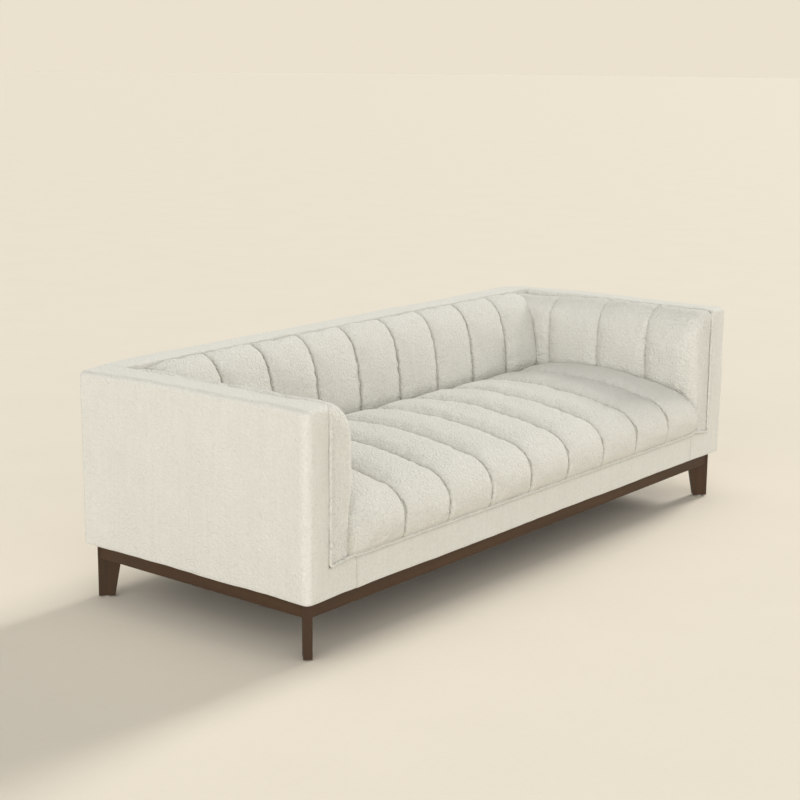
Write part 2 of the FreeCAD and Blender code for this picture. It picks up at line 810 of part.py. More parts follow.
# Black cloth closes the underside, with its corners clipped round the legs
dust_x = side_rail_x - base_rail_thickness
dust_front = front_rail_y + base_rail_thickness
dust_back = back_rail_y - base_rail_thickness
clip = dust_cover_clip
dust_bottom = upholstery_bottom - dust_cover_thickness
dust_outline = [
    Vector(-dust_x, dust_front + clip, dust_bottom),
    Vector(-dust_x + clip, dust_front, dust_bottom),
    Vector(dust_x - clip, dust_front, dust_bottom),
    Vector(dust_x, dust_front + clip, dust_bottom),
    Vector(dust_x, dust_back - clip, dust_bottom),
    Vector(dust_x - clip, dust_back, dust_bottom),
    Vector(-dust_x + clip, dust_back, dust_bottom),
    Vector(-dust_x, dust_back - clip, dust_bottom),
]
dust_cover = prism(dust_outline, upholstery_bottom - dust_bottom)
save("dust_cover", dust_cover.cut(Part.makeCompound(battens)).Solids)
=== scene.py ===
import math

import bmesh
import bpy
import numpy as np
from mathutils import Matrix, Vector


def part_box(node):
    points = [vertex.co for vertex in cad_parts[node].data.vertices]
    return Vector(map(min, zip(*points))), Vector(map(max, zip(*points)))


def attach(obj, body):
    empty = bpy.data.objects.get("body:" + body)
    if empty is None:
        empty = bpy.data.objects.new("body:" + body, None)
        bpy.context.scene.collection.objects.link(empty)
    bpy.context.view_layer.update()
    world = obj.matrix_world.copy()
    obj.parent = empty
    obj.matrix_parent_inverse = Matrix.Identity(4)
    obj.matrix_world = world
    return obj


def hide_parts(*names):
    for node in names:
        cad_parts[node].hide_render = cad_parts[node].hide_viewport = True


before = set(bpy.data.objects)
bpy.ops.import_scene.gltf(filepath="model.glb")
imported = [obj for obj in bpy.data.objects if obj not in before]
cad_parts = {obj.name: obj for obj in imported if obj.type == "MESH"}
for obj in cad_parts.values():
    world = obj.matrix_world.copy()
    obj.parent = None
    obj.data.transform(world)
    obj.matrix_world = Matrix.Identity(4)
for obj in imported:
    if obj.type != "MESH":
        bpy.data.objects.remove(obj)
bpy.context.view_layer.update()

# Timber frame: posts, rails and uprights of planed hardwood, doweled and glued together.
# Triangular blocks, glued and held by two screws each, brace the corners of the seat frame.


class Wire:
    """One socket of a material. Arithmetic with wires and numbers adds Math nodes."""

    def __init__(self, tree, socket=None):
        self.tree = tree
        self.socket = socket

    def add(self, kind, settings, inputs, output=0):
        """Add a node: its settings first, then the values or links of its sockets."""
        node = self.tree.nodes.new(kind)
        for name, value in settings.items():
            setattr(node, name, value)
        for place, value in inputs.items():
            if isinstance(value, Wire):
                self.tree.links.new(value.socket, node.inputs[place])
            else:
                node.inputs[place].default_value = value
        return Wire(self.tree, node.outputs[output] if node.outputs else None)

    def math(self, operation, first, second):
        return self.add("ShaderNodeMath", {"operation": operation}, {0: first, 1: second})

    def __add__(self, other):
        return self.math("ADD", self, other)

    def __sub__(self, other):
        return self.math("SUBTRACT", self, other)

    def __rsub__(self, other):
        return self.math("SUBTRACT", other, self)

    def __mul__(self, other):
        return self.math("MULTIPLY", self, other)

    def between(self, first, second):
        """A colour from the first to the second, as this wire goes from 0 to 1."""
        ends = [end if isinstance(end, Wire) else (*end, 1.0) for end in (first, second)]
        sockets = {0: self, 6: ends[0], 7: ends[1]}
        return self.add("ShaderNodeMix", {"data_type": "RGBA"}, sockets, output=2)

    def stretched(self, factors):
        """Coordinates multiplied along X, Y and Z."""
        return self.add("ShaderNodeVectorMath", {"operation": "MULTIPLY"}, {0: self, 1: factors})

    def toward(self, direction):
        """How far these coordinates reach in a direction."""
        sockets = {0: self, 1: direction}
        return self.add("ShaderNodeVectorMath", {"operation": "DOT_PRODUCT"}, sockets, output=1)

    def noise(self, scale, detail, output=0):
        """Soft random patches at this wire's coordinates, about 0.5 on average."""
        sockets = {"Vector": self, "Scale": scale, "Detail": detail}
        return self.add("ShaderNodeTexNoise", {}, sockets, output)

    def relief(self, depth):
        """A normal for a surface that this wire raises by up to a depth in metres."""
        return self.add("ShaderNodeBump", {}, {"Height": self, "Distance": depth})


def begin(name):
    """A new material, and the wire of its coordinates: the sofa's own frame, in metres."""
    made = bpy.data.materials.new(name)
    made.use_nodes = True
    made.node_tree.nodes.clear()
    place = Wire(made.node_tree).add("ShaderNodeTexCoord", {}, {}, output=3)
    return made, place


def close(made, inputs):
    """End a material with its surface shader, whose sockets take values or wires."""
    surface = Wire(made.node_tree).add("ShaderNodeBsdfPrincipled", {}, inputs)
    surface.add("ShaderNodeOutputMaterial", {}, {"Surface": surface})
    return made


def paint(material, *nodes):
    """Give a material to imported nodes, whose shape stays as it is."""
    for node in nodes:
        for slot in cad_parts[node].material_slots:
            slot.material = material


def wood(name, grain_axis, dark, light, roughness):
    """Planed wood whose grain runs along one axis: 0 for X, 1 for Y and 2 for Z."""
    made, place = begin(name)
    squeeze = [1.0, 1.0, 1.0]
    squeeze[grain_axis] = 0.06
    along = place.stretched(squeeze)
    figure = (along.noise(34.0, 4.0) - 0.5) * 2.4
    fibre = (along.noise(420.0, 3.0) - 0.5) * 1.6
    tone = figure * 0.7 + fibre * 0.45 + 0.5
    inputs = {
        "Base Color": tone.between(dark, light),
        "Roughness": fibre * 0.12 + roughness,
        "Normal": tone.relief(0.00025),
    }
    return close(made, inputs)


timber_dark = (0.50, 0.34, 0.19)
timber_light = (0.72, 0.56, 0.37)
timber = [wood("timber_" + "xyz"[axis], axis, timber_dark, timber_light, 0.6) for axis in range(3)]
paint(timber[0], "seat_rail_front", "seat_rail_back", "back_top_rail", "back_liner_rail")
paint(timber[0], "seat_corner_blocks")
paint(timber[1], "seat_cross_rails")
paint(timber[2], "back_uprights")
for side in ("left", "right"):
    paint(timber[1], "seat_rail_" + side, "arm_top_rail_" + side, "arm_liner_rail_" + side)
    paint(timber[2], "front_post_" + side, "back_post_" + side)

beech_dark = (0.58, 0.38, 0.22)
beech_light = (0.76, 0.57, 0.37)
paint(wood("beech_dowel", 0, beech_dark, beech_light, 0.5), "frame_dowels", "base_dowels")


def steel(name, colour, roughness, metallic):
    """Plated or blued steel, with the faint blotches of its coating."""
    made, place = begin(name)
    blotch = (place.noise(260.0, 3.0) - 0.5) * 1.5 + 0.5
    dull = [channel * 0.72 for channel in colour]
    inputs = {
        "Base Color": blotch.between(dull, colour),
        "Metallic": metallic,
        "Roughness": blotch * 0.18 + roughness,
        "Normal": place.noise(1400.0, 2.0).relief(0.00005),
    }
    return close(made, inputs)


zinc = steel("zinc_plated_steel", (0.62, 0.62, 0.60), 0.28, 1.0)
paint(zinc, "corner_block_screws", "spring_clips")
paint(zinc, "base_bolts", "base_washers", "base_threaded_inserts")

# Springs: sixteen zigzag wires from the front seat rail to the back one, hooked in clips
# that are nailed to the rails. Three straight wires tie them together from side to side.
paint(steel("spring_steel", (0.20, 0.20, 0.22), 0.38, 0.9), "seat_springs", "spring_tie_wires")

# Deck cloth: one piece of strong woven cloth over the springs, drawn tight and tacked to
# the rails along its turned-down front and back edges. It is notched round the uprights.


def woven(name, dark, light, thread, relief_depth, roughness):
    """Plain weave: threads that cross over and under, a given distance apart."""
    made, place = begin(name)
    turns = 2.0 * math.pi / thread
    parts = place.stretched((turns, turns, turns))
    split = [parts.add("ShaderNodeSeparateXYZ", {}, {0: parts}, output=index) for index in range(3)]
    crossed = [wire.math("SINE", wire, 0.0) for wire in split]
    pairs = [crossed[k - 1] * crossed[k] for k in range(3)]
    weave = (pairs[0] + pairs[1] + pairs[2]) * 0.33 + 0.5
    slub = place.noise(90.0, 3.0)
    tone = weave * 0.55 + slub * 0.5
    inputs = {
        "Base Color": tone.between(dark, light),
        "Roughness": slub * 0.1 + roughness,
        "Normal": tone.relief(relief_depth),
    }
    return close(made, inputs)


def quads(rows, columns):
    """Faces of a grid of points numbered row by row, seen from its row x column side."""
    cells = [(r * columns + c) for r in range(rows - 1) for c in range(columns - 1)]
    return [(at, at + columns, at + columns + 1, at + 1) for at in cells]


def piece(name, points, faces, material, slot):
    """A smooth mesh piece of the sofa, in a material. slot is not used."""
    mesh = bpy.data.meshes.new(name)
    mesh.from_pydata([tuple(point) for point in points], [], faces)
    mesh.materials.append(material)
    mesh.shade_smooth()
    made = bpy.data.objects.new(name, mesh)
    bpy.context.scene.collection.objects.link(made)
    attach(made, "root")
    return made


def tidy(made, weld=0.00001):
    """Join points that coincide and turn every face outwards."""
    work = bmesh.new()
    work.from_mesh(made.data)
    bmesh.ops.remove_doubles(work, verts=work.verts, dist=weld)
    bmesh.ops.recalc_face_normals(work, faces=work.faces)
    work.to_mesh(made.data)
    work.free()


def thicken(made, thickness):
    """Give a sheet its thickness, on the side away from its face."""
    solid = made.modifiers.new("thickness", "SOLIDIFY")
    solid.thickness = thickness
    solid.offset = -1.0


def spaced(stops, step):
    """Places from the first stop to the last, through every stop, about a step apart."""
    places = [stops[0]]
    for start, end in zip(stops, stops[1:]):
        count = max(1, round((end - start) / step))
        places += [start + (end - start) * (index + 1) / count for index in range(count)]
    return np.array(places)


deck_low, deck_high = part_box("seat_deck_cloth")
upright_low, upright_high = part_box("back_uprights")
upright_width = 0.040
springs = 16
spring_pitch = 0.118
deck_sag = 0.0012
deck_tight = 0.030
notch_inner = upright_high.x - upright_width
notches = (-upright_high.x, -notch_inner, notch_inner, upright_high.x)
deck_x = spaced([deck_low.x, *notches, deck_high.x], step=0.015)
deck_y = spaced([deck_low.y, upright_low.y, deck_high.y], step=0.030)
deck_points = []
for y in deck_y:
    for x in deck_x:
        between_springs = math.cos(math.pi * (x / spring_pitch + (springs - 1) / 2)) ** 2
        inside = min(1.0, min(y - deck_low.y, deck_high.y - y) / deck_tight)
        deck_points.append((x, y, deck_high.z - deck_sag * (1.0 - between_springs) * inside))
front_drop = [(x, deck_low.y, deck_low.z) for x in deck_x]
back_drop = [(x, deck_high.y, deck_low.z) for x in deck_x]
deck_points = front_drop + deck_points + back_drop
deck_columns = len(deck_x)
deck_faces = []
for face in quads(len(deck_y) + 2, deck_columns):
    middle = np.mean([deck_points[index] for index in face], axis=0)
    if not (middle[1] > upright_low.y and notch_inner < abs(middle[0]) < upright_high.x):
        deck_faces.append(face[::-1])
deck_material = woven("deck_cloth", (0.36, 0.30, 0.21), (0.60, 0.53, 0.41), 0.0022, 0.0004, 0.85)
deck_cloth = piece("deck_cloth", deck_points, deck_faces, deck_material, "deck_cloth")
thicken(deck_cloth, 0.0012)
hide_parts("seat_deck_cloth")

# Webbing: jute straps on the inner faces of the back and arm frames, pulled tight and
# tacked at their ends. Two level straps are woven over and under the upright ones.
strap_width = 0.050
strap_thickness = 0.0018
strap_step = 0.012
weave_height = 0.0020
weave_run = 0.020
level_straps = (0.405, 0.525)
jute = woven("jute_webbing", (0.22, 0.15, 0.08), (0.52, 0.40, 0.24), 0.0034, 0.0007, 0.9)


def strap(line, across, face_out):
    """Points and faces of a flat strap, whose cross-section is carried along a line."""
    half = across * strap_width / 2
    out = face_out * strap_thickness
    corners = [-half, half, half + out, -half + out]
    points = [place + corner for place in line for corner in corners]
    faces = [(3, 2, 1, 0)]
    for start in range(0, 4 * (len(line) - 1), 4):
        for corner in range(4):
            after = (corner + 1) % 4
            faces.append((start + corner, start + after, start + 4 + after, start + 4 + corner))
    last = 4 * (len(line) - 1)
    return points, faces + [(last, last + 1, last + 2, last + 3)]


def lifted(place, crossings):
    """How far a strap stands off at a place, where it runs over the straps that it crosses."""
    away = min([abs(place - crossing) for crossing in crossings], default=1.0)
    return weave_height * np.clip(0.5 + (strap_width / 2 - away) / weave_run, 0.0, 1.0)


def webbing(name, node, run, depth, count):
    """Woven straps on one frame: run is its level direction, and depth points off the frame."""
    low, high = (np.array(corner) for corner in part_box(node))
    run, depth, up = np.array(run), np.array(depth), np.array((0.0, 0.0, 1.0))
    start, end = low @ run, high @ run
    frame_face = depth * min(low @ depth, high @ depth)
    columns = [start + (index + 0.5) * (end - start) / count for index in range(count)]
    straps = []
    for index, column in enumerate(columns):
        over = [z for level, z in enumerate(level_straps) if (index + level) % 2 == 0]
        heights = spaced([low[2], *level_straps, high[2]], strap_step)
        line = [frame_face + run * column + up * z + depth * lifted(z, over) for z in heights]
        straps.append(strap(line, run, depth))
    for level, z in enumerate(level_straps):
        over = [column for index, column in enumerate(columns) if (index + level) % 2 == 1]
        places = spaced([start, *columns, end], strap_step)
        line = [frame_face + run * place + up * z + depth * lifted(place, over) for place in places]
        straps.append(strap(line, up, depth))
    points, faces = [], []
    for strap_points, strap_faces in straps:
        faces += [tuple(index + len(points) for index in face) for face in strap_faces]
        points += strap_points
    made = piece(name, points, faces, jute, "jute_webbing")
    tidy(made)
    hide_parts(node)


webbing("back_webbing_straps", "back_webbing", (1, 0, 0), (0, -1, 0), 12)
webbing("left_arm_webbing_straps", "arm_webbing_left", (0, 1, 0), (1, 0, 0), 5)
webbing("right_arm_webbing_straps", "arm_webbing_right", (0, 1, 0), (-1, 0, 0), 5)

# Boards: thin fibreboard over the open outsides of the frame, so that the outer covers
# lie flat. They are stapled to the posts and rails.


def fibreboard():
    made, place = begin("fibreboard")
    fibres = (place.stretched((1.0, 1.0, 0.4)).noise(300.0, 5.0) - 0.5) * 2.2 + 0.5
    inputs = {
        "Base Color": fibres.between((0.30, 0.20, 0.11), (0.50, 0.38, 0.25)),
        "Roughness": fibres * 0.1 + 0.78,
        "Normal": fibres.relief(0.0002),
    }
    return close(made, inputs)


paint(fibreboard(), "outer_arm_board_left", "outer_arm_board_right", "outer_back_board")

# Foam cores: blocks of upholstery foam, glued on the deck cloth and on the webbing. The
# glue and the tight covers draw their edges round and leave their faces a little crowned.
foam_edge = 0.012
foam_crown = 0.004
foam_step = 0.040


def box_surface(xs, ys, zs, wanted=None):
    """Points and outward faces of a box's surface, ruled by lines across each axis.

    wanted takes the middle of a cell and the axis it faces along, and says whether to keep it."""
    lines = (np.asarray(xs), np.asarray(ys), np.asarray(zs))
    points, faces, known = [], [], {}

    def at(place):
        if place not in known:
            known[place] = len(points)
            points.append([lines[axis][place[axis]] for axis in range(3)])
        return known[place]

    for axis in range(3):
        first = (axis + 1) % 3
        second = (axis + 2) % 3
        for end, outward in ((0, False), (len(lines[axis]) - 1, True)):
            for i in range(len(lines[first]) - 1):
                for j in range(len(lines[second]) - 1):
                    place = [0, 0, 0]
                    place[axis] = end
                    corners = []
                    for di, dj in ((0, 0), (1, 0), (1, 1), (0, 1)):
                        place[first] = i + di
                        place[second] = j + dj
                        corners.append(tuple(place))
                    middle = np.mean([[lines[k][c[k]] for k in range(3)] for c in corners], axis=0)
                    if wanted is None or wanted(middle, axis):
                        face = [at(corner) for corner in corners]
                        faces.append(face if outward else face[::-1])
    return np.array(points), faces


def foam_material():
    made, place = begin("upholstery_foam")
    cells = place.add("ShaderNodeTexVoronoi", {}, {"Vector": place, "Scale": 700.0})
    tint = place.noise(6.0, 2.0)
    inputs = {
        "Base Color": (cells * 0.6 + tint * 0.5).between((0.84, 0.80, 0.62), (0.70, 0.62, 0.42)),
        "Roughness": tint * 0.1 + 0.85,
        "Normal": cells.relief(0.0006),
    }
    return close(made, inputs)


foam = foam_material()
for node in ("seat_foam", "back_foam", "arm_foam_left", "arm_foam_right"):
    low, high = (np.array(corner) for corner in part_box(node))
    block_points, block_faces = box_surface(*(spaced([low[k], high[k]], foam_step) for k in range(3)))
    middle = (low + high) / 2
    half = (high - low) / 2
    share = (block_points - middle) / half
    for axis in range(3):
        others = [k for k in range(3) if k != axis]
        roundness = (1 - share[:, others[0]] ** 2) * (1 - share[:, others[1]] ** 2)
        outer = np.sign(share[:, axis]) * (abs(share[:, axis]) > 0.99)
        block_points[:, axis] -= outer * foam_crown * (1 - roundness)
    core_name = node.replace("foam", "foam_core")
    core = piece(core_name, block_points, block_faces, foam, "upholstery_foam")
    bevel = core.modifiers.new("drawn edges", "BEVEL")
    bevel.width = foam_edge
    bevel.segments = 3
    bevel.angle_limit = math.radians(60)
    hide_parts(node)

# Seat pad: nine channels of fibre fill, sewn between the cover and its backing, over the
# foam core. It rolls over the front edge, and its back edge is pulled down behind the seat.
channel_count = 9
channel_rows = 20
fabric_step = 0.007
dome_power = 2.3
dome_root = 2.0
seam_depth = 0.0090
seam_reach = 0.0020
seam_shade_fade = 0.0024
seat_crown = 0.012
fill_spread = 0.07
puff_limit = 0.007
pucker_height = 0.0011
pucker_length = 0.045
pucker_reach = 0.022
drape_height = 0.0012
drape_length = 0.160
drape_reach = 0.030
stitch_reach = 0.004
# Painted shade, not shape: tuck_width and tuck_reach widen the shade at the seat's ends where they
# tuck against the arms, and the welt_shade values darken the seat just above the welt.
tuck_width = 0.009
tuck_reach = 0.030
welt_shade = 0.7
welt_shade_top = 0.2670
welt_shade_run = 8
seat_low, seat_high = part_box("seat_pad")
pad_half = seat_high.x
pad_bottom = seat_low.z
back_face_y = 0.234


def boucle(name, streaks, nubs):
    """Cream boucle: looped yarn, dense and nubby, with painted shade in the hollows between its loops
    and along the seams noted on each mesh.

    streaks is how much its rows show upright, and nubs is how high its loops stand."""
    made, place = begin(name)
    wander = place.noise(130.0, 2.0, output=1)
    shift = wander.add("ShaderNodeVectorMath", {"operation": "SCALE"}, {0: wander, "Scale": 0.008})
    bent = place.add("ShaderNodeVectorMath", {"operation": "ADD"}, {0: place, 1: shift})
    loop_sockets = {"Vector": bent, "Scale": 150.0, "Smoothness": 0.55}
    loops = bent.add("ShaderNodeTexVoronoi", {"feature": "SMOOTH_F1"}, loop_sockets)
    crests = 1 - loops * 1.35
    yarn = place.noise(700.0, 3.0)
    height = crests * 0.9 + yarn * 0.2
    patches = (place.noise(9.0, 3.0) - 0.5) * 0.3
    rows = (place.stretched((1.0, 1.0, 0.07)).noise(85.0, 3.0) - 0.5) * streaks
    # Painted shade on the loops: the pile's colour is lighter on their crests and darker in the
    # hollows between them.
    tone = (height - 0.55) * 0.35 + patches + rows + 0.6
    pile = tone.between((0.665, 0.655, 0.595), (0.80, 0.795, 0.75))
    # Painted shade: the mesh's seam attribute mixes the pile's colour towards a dark olive along
    # seams, welts and crevices.
    seam_shade_paint = place.add("ShaderNodeAttribute", {"attribute_name": "seam"}, {}, output=2)
    inputs = {
        "Base Color": (seam_shade_paint * 0.6).between(pile, (0.35, 0.335, 0.26)),
        "Roughness": 0.98 - crests * 0.1,
        "Sheen Weight": 0.25,
        "Sheen Roughness": 0.5,
        "Specular IOR Level": 0.2,
        "Normal": height.relief(nubs),
    }
    return close(made, inputs)


pad_fabric = boucle("boucle_pads", 0.15, 0.0036)


def outline(knots, step):
    """A smooth line through knots, as points an even step apart. Further columns follow."""
    knots = np.array(knots, float)
    gaps = np.linalg.norm(np.diff(knots[:, :2], axis=0), axis=1)[:, None]
    slopes = np.diff(knots, axis=0) / gaps
    inner = (slopes[:-1] * gaps[1:] + slopes[1:] * gaps[:-1]) / (gaps[1:] + gaps[:-1])
    tangents = np.vstack([slopes[:1], inner, slopes[-1:]])
    t = np.linspace(0, 1, 24, endpoint=False)[:, None]
    runs = []
    for index, gap in enumerate(gaps):
        start, end = knots[index], knots[index + 1]
        leave, arrive = tangents[index] * gap, tangents[index + 1] * gap
        run = (1 + 2 * t) * (1 - t) ** 2 * start + t * (1 - t) ** 2 * leave
        runs.append(run + t**2 * (3 - 2 * t) * end - t**2 * (1 - t) * arrive)
    line = np.vstack([*runs, knots[-1:]])
    length = np.concatenate([[0], np.cumsum(np.linalg.norm(np.diff(line[:, :2], axis=0), axis=1))])
    even = np.linspace(0, length[-1], round(length[-1] / step) + 1)
    return np.column_stack([np.interp(even, length, column) for column in line.T])


def waves(seed, length, u, v):
    """A smooth random surface over u and v, whose hills are about a length apart."""
    draw = np.random.default_rng(seed)
    total = 0.0
    for _ in range(9):
        angle, phase = draw.uniform(0, 2 * math.pi, 2)
        pace = 2 * math.pi / length * draw.uniform(0.6, 1.4)
        total = total + np.sin((u * math.cos(angle) + v * math.sin(angle)) * pace + phase)
    return total / 3.0


def pushed(sheet, amount):
    """A sheet of points with each one moved out along the sheet's own normal."""
    normal = np.cross(np.gradient(sheet, axis=0), np.gradient(sheet, axis=1))
    size = np.linalg.norm(normal, axis=2, keepdims=True)
    return sheet + normal / np.maximum(size, 1e-12) * amount[..., None]


def seam_shares():
    """Shares of a channel's width, from one seam to the next, closest together at the seams."""
    return 0.5 - 0.5 * np.cos(np.linspace(0, math.pi, channel_rows + 1))


def dome(share):
    """How far a channel has swelled at a share of its width: 0 at its seams and 1 at its crest."""
    return (1 - abs(2 * share - 1) ** dome_power) ** (1 / dome_root)


def stuffed(sheet, held):
    """Let the filling press a sheet out as cloth, sewn down wherever it is held."""
    rows, columns = sheet.shape[:2]
    mesh = bpy.data.meshes.new("stuffing")
    mesh.from_pydata(sheet.reshape(-1, 3).tolist(), [], quads(rows, columns))
    work = bpy.data.objects.new("stuffing", mesh)
    bpy.context.scene.collection.objects.link(work)
    work.vertex_groups.new(name="sewn").add(np.flatnonzero(held).tolist(), 1.0, "REPLACE")
    cloth = work.modifiers.new("cloth", "CLOTH").settings
    cloth.vertex_group_mass = "sewn"
    cloth.quality = 6
    cloth.mass = 0.2
    cloth.shrink_min = -0.02
    cloth.use_pressure = True
    cloth.uniform_pressure_force = 3.0
    cloth.effector_weights.gravity = 0.0
    for tick in range(1, 16):
        bpy.context.scene.frame_set(tick)
    posed = work.evaluated_get(bpy.context.evaluated_depsgraph_get())
    points = np.empty(3 * rows * columns, np.float32)
    posed.data.vertices.foreach_get("co", points)
    bpy.data.objects.remove(work)
    bpy.context.scene.frame_set(1)
    moved = points.reshape(sheet.shape) - sheet
    size = np.linalg.norm(moved, axis=2, keepdims=True)
    return sheet + moved * np.minimum(1.0, puff_limit / np.maximum(size, 1e-9))


def sewn(sheet, seed, places, shares, pitch, depth):
    """Sink the seams into a sheet, with the puckers of gathered stitches beside them."""
    steps = np.linalg.norm(np.diff(sheet[1], axis=0), axis=1)
    along = np.concatenate([[0], np.cumsum(steps)])[None, :]
    across = places[:, None]
    reach = np.minimum(shares, 1 - shares)[:, None] * pitch
    groove = -depth * np.exp(-reach / seam_reach)
    pucker = waves(seed, pucker_length, across, along) * np.exp(-reach / pucker_reach)
    drape = waves(seed + 1, drape_length, across, along) * np.minimum(1, reach / drape_reach)
    loose = pucker * pucker_height + drape * drape_height
    return pushed(sheet, groove + loose * np.minimum(1, reach / stitch_reach))


def softened(made):
    """Round off the facets of a piece of upholstery."""
    smooth = made.modifiers.new("smooth cloth", "SUBSURF")
    smooth.levels = 1
    smooth.render_levels = 1


def shaded(made, near):
    """Note on a mesh, for painted shade, how close its first points lie to a seam: 1 is in it, and 0
    is far off.
    """
    values = np.zeros(len(made.data.vertices))
    values[: len(near)] = near
    made.data.attributes.new("seam", "FLOAT", "POINT").data.foreach_set("value", values)


def pad(name, points, faces, columns, seams, rim, near, node):
    """A stuffed piece whose seams stay crisp along some rows of its sheet of so many columns.

    rim holds the rows and the columns that edge the sheet, which stay where they are."""
    made = piece(name, points, faces, pad_fabric, "boucle_fabric")
    ends = np.empty(2 * len(made.data.edges), np.int32)
    made.data.edges.foreach_get("vertices", ends)
    rows, places = np.divmod(ends.reshape(-1, 2), columns)
    in_row = np.where(rows[:, 0] == rows[:, 1], rows[:, 0], -1)
    in_column = np.where(places[:, 0] == places[:, 1], places[:, 0], -1)
    sharp = np.where(np.isin(in_row, seams), 0.9, 0.0)
    sharp[np.isin(in_row, rim[0]) | np.isin(in_column, rim[1])] = 1.0
    crease = made.data.attributes.new("crease_edge", "FLOAT", "EDGE")
    crease.data.foreach_set("value", sharp)
    shaded(made, near)
    tidy(made)
    softened(made)
    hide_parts(node)


# Each knot of a pad's outline is its place at a seam, across and up, and the share of the
# crown that is added to each at a crest. Then: how far the pad's ends draw in and sink there.
seat_knots = (
    (-0.4060, 0.2555, 0.0, 0.0, -0.020, 0.0),
    (-0.4130, 0.2553, 0.0, 0.0, -0.022, 0.0),
    (-0.4195, 0.2568, 0.0, 0.0, -0.026, 0.002),
    (-0.4262, 0.2602, 0.0, 0.0, -0.031, 0.006),
    (-0.4314, 0.2690, -0.20, 0.0, -0.033, 0.011),
    (-0.4330, 0.3010, -0.75, 0.0, -0.033, 0.015),
    (-0.4270, 0.3470, -0.80, 0.2, -0.032, 0.018),
    (-0.4130, 0.3670, -0.70, 0.7, -0.024, 0.020),
    (-0.3910, 0.3850, -0.45, 0.9, -0.007, 0.018),
    (-0.3160, 0.4080, -0.10, 1.0, 0.002, 0.009),
    (-0.2410, 0.4220, 0.0, 1.0, 0.001, 0.004),
    (-0.1270, 0.4340, 0.0, 1.0, 0.001, 0.002),
    (-0.0200, 0.4380, 0.0, 1.0, 0.001, 0.002),
    (0.1000, 0.4305, 0.0, 1.0, 0.001, 0.002),
    (0.1900, 0.4120, 0.0, 0.9, 0.001, 0.002),
    (0.2180, 0.4010, -0.45, 0.5, 0.001, 0.002),
    (0.2320, 0.3800, -1.0, 0.0, 0.001, 0.002),
    (0.2335, 0.3500, -1.0, 0.0, 0.001, 0.002),
)
seat_line = outline(seat_knots, fabric_step)
channel_pitch = 2 * pad_half / channel_count
pad_shares = np.append(np.tile(seam_shares()[:-1], channel_count), 1.0)
pad_index = np.repeat(np.arange(channel_count), channel_rows)
pad_x = -pad_half + channel_pitch * np.append(pad_index + pad_shares[:-1], channel_count)
filling = np.random.default_rng(7).uniform(1 - fill_spread, 1 + fill_spread, channel_count)
swell = (dome(pad_shares) * np.append(filling[pad_index], 1.0))[:, None]
pad_seams = np.arange(channel_count + 1) * channel_rows
towards_end = np.clip(1 - (pad_half - abs(pad_x)) / (channel_pitch / 2), 0, 1)[:, None]
from_ends = 1 - towards_end**8


def channels(name, node, line, crown, seed, hidden_below, tail):
    """A pad of channels side by side, which carry one outline from one arm to the other.

    It is sewn down below the height hidden_below, and tail is its hidden corner, across and up."""
    y = line[:, 0] + line[:, 2] * crown * swell
    z = line[:, 1] + line[:, 3] * crown * swell
    x = pad_x[:, None] - np.sign(pad_x[:, None]) * towards_end**2 * line[:, 4]
    sheet = pushed(np.stack([x, y, z], axis=2), -(towards_end**3) * line[:, 5])
    held = z < hidden_below
    held[pad_seams] = True
    held[:, :2] = True
    held[:, -2:] = True
    depth = seam_depth * from_ends
    sheet = sewn(stuffed(sheet, held), seed, pad_x, pad_shares, channel_pitch, depth)
    # Painted shade: darker along the seams, in a band where the seat's ends tuck against the arms, and
    # on the seat just above the welt under its nose.
    tucked_in = tuck_width * np.clip(-line[:, 4] / tuck_reach, 0, 1)
    to_end = np.maximum((pad_half - abs(pad_x))[:, None] - tucked_in, 0)
    to_seam = (np.minimum(pad_shares, 1 - pad_shares) * channel_pitch)[:, None]
    near = np.exp(-np.minimum(to_seam, to_end) / seam_shade_fade) * (0.8 + 0.2 * from_ends)
    above_welt = np.maximum(sheet[..., 2] - welt_shade_top, 0)
    behind_nose = np.maximum(sheet[..., 1] - seat_low.y, 0) / welt_shade_run
    near = np.maximum(near, welt_shade * np.exp(-(above_welt + behind_nose) / seam_shade_fade))
    near = np.column_stack([near, near[:, -1]])
    hidden = [(x, *tail) for x in pad_x]
    sheet = np.concatenate([sheet, np.array(hidden)[:, None]], axis=1)
    rows, columns = sheet.shape[:2]
    faces = quads(rows, columns)
    for first in range(0, (rows - 1) * columns, columns):
        last = first + columns - 1
        faces.append((last, last + columns, first + columns, first))
    faces.append(tuple(range(columns)))
    faces.append(tuple(range((rows - 1) * columns, rows * columns)))
    rim = ((0, rows - 1), (0, columns - 2, columns - 1))
    pad(name, sheet.reshape(-1, 3), faces, columns, pad_seams, rim, near.ravel(), node)


channels(
    "channelled_seat", "seat_pad", seat_line, seat_crown,
    seed=214, hidden_below=0.264, tail=(0.214, pad_bottom),
)

# Back pad: nine channels in line with those of the seat. It stands behind the seat, leans
# back and rolls over to the top border, where each channel swells against the crease.
back_crown = 0.012
back_knots = (
    (0.2340, 0.2610, -1.0, 0.0, 0.001, 0.003),
    (0.2340, 0.4500, -1.0, 0.0, 0.001, 0.003),
    (0.2400, 0.5200, -1.0, 0.0, 0.001, 0.004),
    (0.2570, 0.5920, -0.95, 0.1, 0.001, 0.006),
    (0.2720, 0.6270, -0.80, 0.35, -0.010, 0.010),
    (0.2930, 0.6530, -0.60, 0.55, -0.018, 0.014),
    (0.3160, 0.6685, -0.35, 0.65, -0.022, 0.017),
    (0.3370, 0.6750, -0.10, 0.50, -0.022, 0.017),
    (0.3480, 0.6700, 0.0, 0.25, -0.020, 0.010),
    (0.3498, 0.6600, 0.0, 0.0, -0.020, 0.0),
)
back_line = outline(back_knots, fabric_step)
channels(
    "channelled_back", "back_pad", back_line, back_crown,
    seed=350, hidden_below=0.42, tail=(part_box("back_pad")[1].y, pad_bottom),
)

